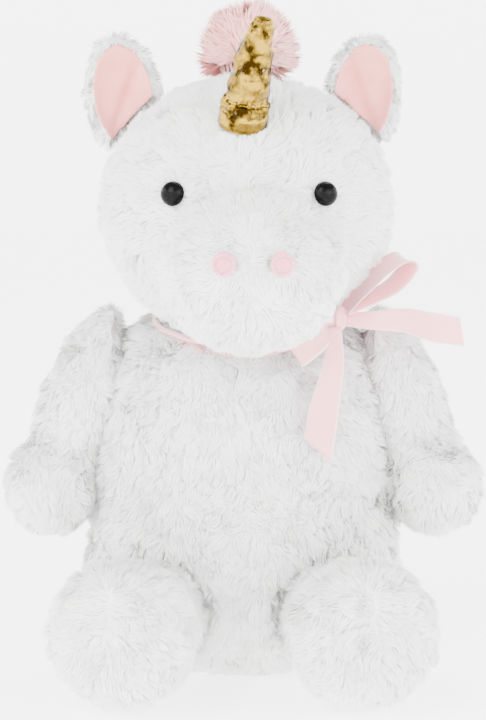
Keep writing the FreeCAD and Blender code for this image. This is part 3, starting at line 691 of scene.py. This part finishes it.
def split_ear(whole, back, lining, body):
    """Parts one ear's skin into lining and back, with a soft fold down the lining."""
    trees = []
    for name in (back, lining):
        points, faces = node_geometry([name])
        trees.append(BVHTree.FromPolygons(points.tolist(), faces.tolist()))
    points, normals = vertex_arrays(whole.data)
    pink = np.array([trees[1].find_nearest(Vector(p))[3] < trees[0].find_nearest(Vector(p))[3]
                     for p in points])
    middle = np.array(middle_of(lining))
    outward = -1.0 if middle[0] < 0 else 1.0
    fold_depth, fold_width, fold_reach, fold_slant = 4.0 * MM, 2.6 * MM, 18 * MM, 0.30
    height = points[:, 2] - middle[2]
    across = (points[:, 0] - middle[0]) * outward + fold_slant * height + 2 * MM
    fold = fold_depth * np.exp(-((across / fold_width) ** 2))
    fold = fold * np.clip(1.4 - np.abs(height) / fold_reach, 0, 1)
    set_points(whole.data, points - normals * np.where(pink, 0.3 * MM + fold, 1.6 * MM)[:, None])
    points, normals = vertex_arrays(whole.data)
    for label, wanted, material in (("lining", pink, PINK_VELOUR), ("back", ~pink, WHITE_BACKING)):
        faces = [list(f.vertices) for f in whole.data.polygons
                 if sum(wanted[v] for v in f.vertices) * 2 >= len(f.vertices)
                 + (label == "back")]
        used = sorted({v for face in faces for v in face})
        index = {v: i for i, v in enumerate(used)}
        mesh = bpy.data.meshes.new(body + "_" + label)
        mesh.from_pydata(points[used].tolist(), [], [[index[v] for v in f] for f in faces])
        mesh.update()
        obj = new_object("%s_%s_skin" % (body, label), mesh, material)
        obj.data.polygons.foreach_set("use_smooth", [True] * len(faces))
        node = back if label == "back" else lining
        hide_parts(node)
        made = [obj]
        if label == "back":
            spot, normal = scattered(obj, PILE_DENSITY)
            size = np.full(len(spot), 6.0 * MM)
            made.append(grow(body + "_back_pile", spot, normal, size, body_flow(spot) * 0.5
                             + np.array([0, -0.3, 0.0]), WHITE_PILE, PILE_WIDTH, 0.6))
        for piece in made:
            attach(piece, body)
    bpy.data.objects.remove(whole)


# ------------------------------------------------------------------------ horn

def along(profile, t):
    """A value at t from (place, value) pairs, smoothly between them."""
    places = [p for p, _ in profile]
    values = [v for _, v in profile]
    index = int(np.clip(np.searchsorted(places, t) - 1, 0, len(places) - 2))
    share = np.clip((t - places[index]) / (places[index + 1] - places[index]), 0, 1)
    share = share * share * (3 - 2 * share)
    return values[index] + (values[index + 1] - values[index]) * share


# Along the horn's axis, in millimetres from the lower face of its cuff: its radius,
# how deep its pleats are, and how slack the cloth lies between the two threads.
HORN_START, HORN_END = -7.0, 53.5
HORN_RADIUS = ((-7, 11.6), (-4, 12.2), (0, 12.4), (2.0, 11.5), (4.5, 12.1), (6.8, 11.7),
               (8.2, 9.8), (9.6, 10.1), (13, 10.6), (19, 10.4), (23, 9.9), (25, 9.3),
               (26.3, 9.1), (27.5, 8.5), (28.6, 8.9), (31, 8.9), (36, 8.5), (41, 7.7),
               (45, 6.7), (48, 5.6), (50, 4.4), (51, 4.5), (52.2, 3.5), (53, 1.9), (53.5, 0.05))
HORN_PLEATS = ((-7, 0.1), (1, 0.15), (2.5, 0.9), (5.5, 1.5), (8.2, 1.0), (10, 0.6), (13, 0.15),
               (22, 0.15), (24, 0.5), (26.3, 0.7), (27.5, 0.6), (29, 0.7), (33, 0.25),
               (42, 0.15), (50, 0.4), (52, 0.3), (53.5, 0.0))
HORN_SLACK = ((-7, 0.0), (9, 0.2), (12, 0.8), (23, 1.0), (33, 1.0), (46, 0.5), (53.5, 0.0))
HORN_THREADS = (("lower", 8.2, 9.1), ("upper", 27.5, 7.6))    # name, place and radius of each
CURL_START = 30.0           # above this place the tip bends to one side
CURL_REACH = 1.5            # by this much at its end


def horn_radius(t, angle, phase):
    """The lame's distance from the axis at place t, with its pleats, sags and creases."""
    fold = (math.sin(13 * angle + phase[0] + 0.10 * t)
            + 0.7 * math.sin(21 * angle + phase[1] - 0.16 * t)
            + 0.5 * math.sin(34 * angle + phase[2] + 0.22 * t))
    sag = (0.35 * math.sin(2 * angle + phase[3] + 0.35 * t)
           + 0.3 * math.sin(3 * angle + phase[4] - 0.5 * t))
    crease = math.sin(0.9 * t + 1.6 * math.sin(2 * angle + phase[5]))
    plain = along(HORN_RADIUS, t)
    size = plain + along(HORN_PLEATS, t) * fold * 0.45
    size += sag * min(1.0, plain / 6.0)
    size += 0.16 * crease * along(HORN_SLACK, t)
    return max(size, 0.02) * MM


def make_horn():
    """Gathered lame: a pleated cuff, two puffs drawn in by thread, a curled tip."""
    axis = horn_axis()
    base = middle_of("horn_wrap_lower") - axis * HORN_THREADS[0][1] * MM
    across = axis.cross(Vector((0, 1, 0))).normalized()
    forward = axis.cross(across)
    around, rings = 180, 170
    bend = -CURL_REACH if across.x < 0 else CURL_REACH
    phase = RNG.uniform(0, 6.28, 8)
    points = []
    for ring in range(rings + 1):
        t = HORN_START + (HORN_END - HORN_START) * ring / rings
        curl = max(0.0, t - CURL_START) / (HORN_END - CURL_START)
        centre = base + axis * (t * MM) + across * (bend * curl * curl * MM)
        for step in range(around):
            angle = 2 * math.pi * step / around
            out = across * math.cos(angle) + forward * math.sin(angle)
            points.append(centre + out * horn_radius(t, angle, phase))
    horn = new_object("horn_lame", smooth_mesh("horn_lame", points, ring_faces(rings, around)),
                      GOLD_LAME)
    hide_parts("horn_cover", "horn_stuffing", "horn_tip_knot")
    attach(horn, "horn")
    for name, place, size in HORN_THREADS:
        turns = thread_turns("horn_thread_" + name, base + axis * place * MM, axis, size * MM)
        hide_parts("horn_wrap_" + name)
        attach(turns, "horn")


def thread_turns(name, centre, axis, radius):
    """A few turns of thread, as one tube."""
    across = axis.cross(Vector((0, 1, 0))).normalized()
    forward = axis.cross(across)
    curve = []
    turns, steps, width = 3, 64, 1.4 * MM
    for step in range(turns * steps + 1):
        angle = 2 * math.pi * step / steps
        rise = (step / (turns * steps) - 0.5) * width
        wave = radius * (1 + 0.02 * math.sin(9 * angle))
        curve.append(centre + axis * rise + (across * math.cos(angle)
                                             + forward * math.sin(angle)) * wave)
    return tube(name, curve, 0.28 * MM, GOLD_THREAD)


def tube(name, path, radius, material, sides=8):
    """A round tube along a path, closed at both ends."""
    points = []
    for index, centre in enumerate(path):
        ahead = path[min(index + 1, len(path) - 1)] - path[max(index - 1, 0)]
        ahead.normalize()
        across = ahead.cross(Vector((0.3, 0.2, 0.93))).normalized()
        other = ahead.cross(across)
        for step in range(sides):
            angle = 2 * math.pi * step / sides
            points.append(centre + (across * math.cos(angle) + other * math.sin(angle)) * radius)
    faces = ring_faces(len(path) - 1, sides)
    faces.append(list(range(sides))[::-1])
    faces.append([len(points) - sides + step for step in range(sides)])
    return new_object(name, smooth_mesh(name, points, faces), material)


# -------------------------------------------------------------- eyes, nostrils

def show_node(node, material):
    """Shows a CAD node as it is, with a material."""
    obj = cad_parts[node]
    obj.data.materials.clear()
    obj.data.materials.append(material)
    return obj


def make_eyes():
    """The safety eyes and their washers keep their CAD shapes."""
    for side in ("left", "right"):
        show_node("eye_" + side, BLACK_EYE)
        show_node("eye_washer_" + side, WHITE_PLASTIC)


def nostril_way(node):
    """The way a nostril faces: from the muzzle's middle through the patch."""
    muzzle = middle_of("muzzle_panel") + Vector((0, 20 * MM, 0))
    return (middle_of(node) - muzzle).normalized()


def make_nostrils():
    """Satin stitch: a round patch filled with parallel stitches, and a ring of radial stitches round
    it.
    """
    for side in ("left", "right"):
        node = "nostril_" + side
        way = nostril_way(node)
        centre = middle_of(node) + way * 0.2 * MM
        across = way.cross(Vector((0, 0, 1))).normalized()
        upward = across.cross(way)
        stitches = []
        ring = 56
        for step in range(ring):
            angle = 2 * math.pi * step / ring + RNG.uniform(-0.03, 0.03)
            out = across * math.cos(angle) + upward * math.sin(angle)
            start, end = 4.1 + RNG.uniform(-0.15, 0.15), 6.1 + RNG.uniform(-0.15, 0.15)
            stitches.append([centre + out * (start + (end - start) * share) * MM
                             + way * (0.75 * math.sin(math.pi * share)) * MM
                             for share in (0.0, 0.25, 0.5, 0.75, 1.0)])
        rows = 13
        for row in range(rows):
            offset = (row / (rows - 1) - 0.5) * 7.0
            half = math.sqrt(max(0.0, 3.7 ** 2 - offset ** 2)) + RNG.uniform(-0.2, 0.1)
            stitches.append([centre + across * offset * MM + upward * half * reach * MM
                             + way * (0.1 + 0.55 * (1 - reach * reach)) * MM
                             for reach in (-1.0, -0.6, -0.2, 0.2, 0.6, 1.0)])
        parts = [tube("stitch", path, 0.30 * MM, PINK_THREAD, 6) for path in stitches]
        patch = joined(node + "_stitches", parts)
        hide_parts(node)
        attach(patch, "head")


def joined(name, parts):
    """Several pieces made into one."""
    points, faces, offset = [], [], 0
    for part in parts:
        points.extend(tuple(v.co) for v in part.data.vertices)
        faces.extend([[v + offset for v in f.vertices] for f in part.data.polygons])
        offset = len(points)
    mesh = smooth_mesh(name, points, faces)
    material = parts[0].data.materials[0]
    for part in parts:
        bpy.data.objects.remove(part)
    return new_object(name, mesh, material)


# ---------------------------------------------------------------------- ribbon

RIBBON = 16.0 * MM
SATIN = 0.35 * MM


def smooth_path(controls, steps):
    """A Catmull-Rom line through the controls."""
    pts = [Vector(c) for c in controls]
    pts = [pts[0] * 2 - pts[1]] + pts + [pts[-1] * 2 - pts[-2]]
    line = []
    for index in range(1, len(pts) - 2):
        p0, p1, p2, p3 = pts[index - 1: index + 3]
        for step in range(steps):
            t = step / steps
            line.append(0.5 * ((2 * p1) + (p2 - p0) * t + (2 * p0 - 5 * p1 + 4 * p2 - p3) * t * t
                               + (3 * p1 - p0 - 3 * p2 + p3) * t ** 3))
    line.append(pts[-2])
    return line


def strip(name, centres, widths, across, slant=0.0, curl=0.0, pleat=0.0):
    """A ribbon along centres; widths and across give each place's width and its direction.
    slant lengthens one edge at the end, curl bows the ribbon across its width and
    pleat folds it lengthwise."""
    columns = 12
    rows = len(centres)
    points, uvs = [], []
    for row in range(rows):
        ahead = centres[min(row + 1, rows - 1)] - centres[max(row - 1, 0)]
        ahead.normalize()
        cross = across[row].normalized()
        face = ahead.cross(cross).normalized()
        share = row / (rows - 1)
        for column in range(columns + 1):
            u = column / columns
            place = centres[row] + cross * (u - 0.5) * widths[row]
            place = place + face * (curl * (1 - (2 * u - 1) ** 2)
                                    + pleat * math.sin(3 * math.pi * u))
            place = place + ahead * slant * (u - 0.5) * share ** 6
            points.append(place)
            uvs.append((u, share))
    faces = []
    for row in range(rows - 1):
        for column in range(columns):
            a = row * (columns + 1) + column
            faces.append([a, a + 1, a + columns + 2, a + columns + 1])
    mesh = smooth_mesh(name, points, faces)
    layer = mesh.uv_layers.new(name="ribbon")
    for loop in mesh.loops:
        layer.data[loop.index].uv = uvs[loop.vertex_index]
    obj = new_object(name, mesh, PINK_SATIN)
    thick = obj.modifiers.new("thickness", "SOLIDIFY")
    thick.thickness = SATIN
    thick.offset = 0.0
    applied(obj)
    return obj


def place_ribbon(obj, node, body):
    """Hides the CAD node that a stretch of ribbon stands for and puts the ribbon on the body it
    rides on.
    """
    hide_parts(node)
    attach(obj, body)


def loop_ribbon(name, start, reach, out, lift, open_width):
    """One loop of the bow: out from the knot, round and back, pinched at the knot."""
    out = out.normalized()
    lift = (lift - out * lift.dot(out)).normalized()
    wide = out.cross(lift).normalized()
    controls = [
        start + lift * 0.5 * MM,
        start + out * reach * 0.25 + lift * open_width * 0.30,
        start + out * reach * 0.62 + lift * open_width * 0.50,
        start + out * reach * 0.95 + lift * open_width * 0.34,
        start + out * reach * 1.00 - lift * open_width * 0.20,
        start + out * reach * 0.70 - lift * open_width * 0.50,
        start + out * reach * 0.30 - lift * open_width * 0.25,
        start - lift * 0.5 * MM,
    ]
    line = smooth_path(controls, 8)
    count = len(line)
    widths = []
    across = []
    for index in range(count):
        share = min(index, count - 1 - index) / (count - 1) * 2
        widths.append(RIBBON * (0.55 + 0.45 * min(1.0, share * 2.2)))
        across.append(wide)
    loop = strip(name, line, widths, across, curl=1.2 * MM)
    place_ribbon(loop, name.replace("_satin", ""), "head")


def tail_ribbon(name, node, body, controls, across_start, across_end, slant):
    """A free end of the ribbon with its diagonal cut."""
    line = smooth_path(controls, 10)
    count = len(line)
    widths, across = [], []
    for index in range(count):
        share = index / (count - 1)
        widths.append(RIBBON * (0.42 + 0.58 * min(1.0, share * 1.3)))
        turn = across_start.lerp(across_end, share)
        ahead = (line[min(index + 1, count - 1)] - line[max(index - 1, 0)]).normalized()
        across.append(turn - ahead * turn.dot(ahead))
    ribbon = strip(name, line, widths, across, slant=slant, curl=0.8 * MM)
    place_ribbon(ribbon, node, body)


def make_knot():
    """A tight pinch of ribbon wrapped across the middle of the bow."""
    centre = middle_of("ribbon_knot")
    size = span_of("ribbon_knot")
    points = []
    around, rings = 48, 24
    phase = RNG.uniform(0, 6.28, 3)
    for ring in range(rings + 1):
        height = math.cos(math.pi * ring / rings)
        girth = math.sin(math.pi * ring / rings) ** 0.7
        for step in range(around):
            angle = 2 * math.pi * step / around
            crease = 1 + 0.10 * math.sin(7 * angle + phase[0]) + 0.06 * math.sin(
                11 * angle + phase[1] + 3 * height)
            points.append((centre.x + 0.8 * size.x / 2 * girth * crease * math.cos(angle),
                           centre.y + 0.9 * size.y / 2 * girth * crease * math.sin(angle),
                           centre.z + size.z / 2 * height))
    mesh = smooth_mesh("ribbon_knot_satin", points, ring_faces(rings, around))
    layer = mesh.uv_layers.new(name="ribbon")
    for polygon in mesh.polygons:
        for loop in polygon.loop_indices:
            vertex = mesh.loops[loop].vertex_index
            layer.data[loop].uv = (0.5 * (vertex % around) / around + 0.25,
                                   (vertex // around) / rings)
    knot = new_object("ribbon_knot_satin", mesh, PINK_SATIN)
    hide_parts("ribbon_knot")
    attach(knot, "head")


def make_neckband():
    """The ribbon round the neck, gathered into soft folds."""
    points, _ = node_geometry(["ribbon_neckband"])
    low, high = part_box("ribbon_neckband")
    across_x = (high.x - low.x) / 2
    back = points[points[:, 1] > high.y - 2 * MM].mean(0)
    front = points[points[:, 1] < low.y + 2 * MM].mean(0)
    half = Vector(back - front) / 2
    middle = Vector(back + front) / 2
    normal = Vector((1, 0, 0)).cross(half).normalized()
    knot = middle_of("ribbon_knot")
    to_knot = (knot - middle) - normal * (knot - middle).dot(normal)
    to_knot.normalize()
    line, widths, across = [], [], []
    steps = 160
    for step in range(steps + 1):
        angle = 2 * math.pi * step / steps
        fold = 0.5 * math.sin(9 * angle) + 0.3 * math.sin(17 * angle + 1)
        ring = Vector((across_x * 1.02 * math.sin(angle), 0, 0)) - half * 0.84 * math.cos(angle)
        outward = ring.normalized()
        away = math.acos(max(-1.0, min(1.0, outward.dot(to_knot))))
        reach = math.exp(-((away / 0.30) ** 2))
        line.append(middle + ring * (0.93 + 0.004 * fold)
                    + (knot - middle - ring * 0.93) * 0.93 * reach)
        widths.append((9.0 + 3.0 * reach) * MM)
        across.append((normal + outward * (0.15 + 0.12 * fold)).normalized())
    band = strip("ribbon_neckband_satin", line, widths, across, pleat=1.9 * MM)
    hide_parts("ribbon_neckband")
    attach(band, "head")


def make_ribbon():
    """The whole bow: knot, neck band, two loops and two free ends."""
    knot = middle_of("ribbon_knot")
    make_knot()
    make_neckband()
    loop_ribbon("ribbon_loop_upper_satin", knot + Vector((3, 0, 3)) * MM, 44 * MM,
                Vector((0.80, 0.34, 0.60)), Vector((-0.42, -0.45, 0.80)), 13 * MM)
    loop_ribbon("ribbon_loop_lower_satin", knot + Vector((-3, -2, -2)) * MM, 26 * MM,
                Vector((-0.80, -0.2, -0.62)), Vector((0.2, -1.0, 0.1)), 9 * MM)
    side_low, side_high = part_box("ribbon_side_tail")
    side_z = (side_low.z + side_high.z) / 2
    start = knot + Vector((4, 1, -1)) * MM
    end = Vector((side_high.x - 6 * MM, side_high.y, side_z - 3 * MM))
    span = end - start
    tail_ribbon("ribbon_side_tail_satin", "ribbon_side_tail", "side_tail", [
        start,
        start + span * 0.25 + Vector((0, -3.0, 1.5)) * MM,
        start + span * 0.5 + Vector((0, 1.5, 2.5)) * MM,
        start + span * 0.75 + Vector((0, -2.0, 1.0)) * MM,
        end], Vector((0.0, 0.2, 1.0)), Vector((0.05, -0.35, 1.0)), -7 * MM)
    hang_low, hang_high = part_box("ribbon_hanging_tail")
    start = knot + Vector((-2, -3, -4)) * MM
    end = Vector(((hang_low.x + hang_high.x) / 2 - 5 * MM, hang_low.y, hang_low.z + 4 * MM))
    span = end - start
    tail_ribbon("ribbon_hanging_tail_satin", "ribbon_hanging_tail", "hanging_tail", [
        start,
        start + span * 0.3 + Vector((2.0, -2.5, 0)) * MM,
        start + span * 0.65 + Vector((0.5, 0.5, 0)) * MM,
        end], Vector((1.0, 0.1, 0.1)), Vector((1.0, -0.3, -0.1)), 10 * MM)


# ------------------------------------------------------------- floor and light

def make_stage():
    """A pale round floor that curves up at its rim, lit softly from all round."""
    reach, bend, height, around = 5.0, 1.2, 3.0, 96
    profile = [(0.5, 0.0), (2.0, 0.0), (reach - bend, 0.0)]
    for step in range(1, 13):
        angle = math.pi / 2 * step / 12
        profile.append((reach - bend + bend * math.sin(angle), bend - bend * math.cos(angle)))
    profile.append((reach, height))
    points, faces = [(0.0, 0.0, 0.0)], []
    for radius, level in profile:
        for step in range(around):
            angle = 2 * math.pi * step / around
            points.append((radius * math.cos(angle), radius * math.sin(angle), level))
    for step in range(around):
        after = (step + 1) % around
        faces.append([0, 1 + step, 1 + after])
        for ring in range(len(profile) - 1):
            low = 1 + ring * around
            high = low + around
            faces.append([low + step, high + step, high + after, low + after])
    mesh = smooth_mesh("floor", points, faces)
    paper = cloth_material("paper", (0.96, 0.96, 0.96), (0.95, 0.95, 0.95), 0.95, 300.0)
    glow = paper.node_tree.nodes["Principled BSDF"].inputs
    glow["Emission Color"].default_value = (1, 1, 1, 1)
    glow["Emission Strength"].default_value = 3.0
    floor = new_object("floor", mesh, paper)
    world = bpy.data.worlds.new("studio")
    world.use_nodes = True
    world.node_tree.nodes["Background"].inputs["Color"].default_value = (1, 1, 1, 1)
    world.node_tree.nodes["Background"].inputs["Strength"].default_value = 0.65
    bpy.context.scene.world = world
    middle = (0, 0, 0.17)
    add_lamp("key", (-0.9, -1.3, 1.5), middle, 1.2, 55.0)
    add_lamp("fill", (1.2, -1.2, 0.9), middle, 1.2, 22.0)
    add_lamp("rim", (0.3, 0.7, 1.5), middle, 0.8, 20.0)


def add_lamp(name, place, target, size, power):
    """A square lamp at place that faces target."""
    lamp = bpy.data.lights.new(name, "AREA")
    lamp.size = size
    lamp.energy = power
    obj = bpy.data.objects.new(name, lamp)
    obj.location = place
    aim = Vector(target) - Vector(place)
    obj.rotation_euler = aim.to_track_quat("-Z", "Y").to_euler()
    bpy.context.scene.collection.objects.link(obj)


def make_camera():
    """A long lens slightly above the toy's middle, looking a little down."""
    data = bpy.data.cameras.new("camera")
    data.lens = 130.0
    data.clip_end = 50.0
    camera = bpy.data.objects.new("camera", data)
    camera.location = (0.0, -1.3666, 0.3561)
    camera.rotation_euler = (math.radians(82.0), 0.0, 0.0)
    bpy.context.scene.collection.objects.link(camera)
    bpy.context.scene.camera = camera


def main():
    make_stage()
    make_camera()
    make_stuffed()
    make_mane()
    make_ears()
    make_horn()
    make_eyes()
    make_nostrils()
    make_ribbon()
    show_node("bean_pouch", POUCH_CLOTH)
    show_node("bean_filling", WHITE_PLASTIC)


main()
